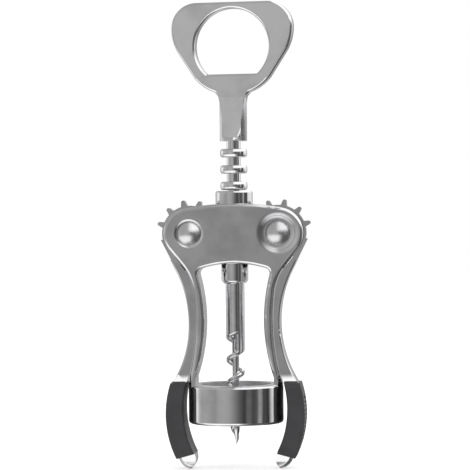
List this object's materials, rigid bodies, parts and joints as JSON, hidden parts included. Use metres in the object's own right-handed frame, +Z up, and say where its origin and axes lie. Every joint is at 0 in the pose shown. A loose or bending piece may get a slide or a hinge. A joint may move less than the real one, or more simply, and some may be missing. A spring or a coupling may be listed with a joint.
{
  "type": "wing corkscrew",
  "caption": "Upright wing corkscrew: geared lever arms with dark grips drive a ring rack, opener loop and worm down through a bell.",
  "frame": {"origin": "centre of the bell's lower rim, on the spindle's axis", "axes": "+Z up along the spindle, +X from the left wing to the right wing, the front faces -Y"},
  "size_m": [0.0588, 0.0364, 0.1792],
  "materials": {
    "chrome": "polished chrome plate on die-cast zinc",
    "steel": "bright plated steel",
    "grip": "moulded dark plastic",
    "bush": "natural plastic"
  },
  "bodies": {
    "body": {"frame": "chrome", "pivot_pin_left": "steel", "pivot_pin_right": "steel", "pin_cap_left": "chrome", "pin_cap_right": "chrome"},
    "bush": {"guide_bush": "bush"},
    "spindle": {"spindle": "chrome", "worm": "steel"},
    "wing_left": {"lever_left": "chrome", "grip_left": "grip"},
    "wing_right": {"lever_right": "chrome", "grip_right": "grip"}
  },
  "joints": [
    {"name": "left_wing_swing", "type": "hinge", "parent": "body", "child": "wing_left", "pos_m": [-0.017, 0, 0.073], "axis": [0, 1, 0], "range_deg": [0, 160]},
    {"name": "right_wing_swing", "type": "hinge", "parent": "body", "child": "wing_right", "pos_m": [0.017, 0, 0.073], "axis": [0, -1, 0], "range_deg": [0, 160]},
    {"name": "handle_turn", "type": "hinge", "parent": "body", "child": "bush", "pos_m": [0, 0, 0.0859], "axis": [0, 0, 1], "continuous": true},
    {"name": "spindle_slide", "type": "slide", "parent": "bush", "child": "spindle", "axis": [0, 0, -1], "range_m": [0, 0.0336]}
  ],
  "couplings": [
    {"joint": "right_wing_swing", "follows": "left_wing_swing", "ratio": 1},
    {"joint": "spindle_slide", "follows": "left_wing_swing", "m_per_rad": 0.012}
  ]
}
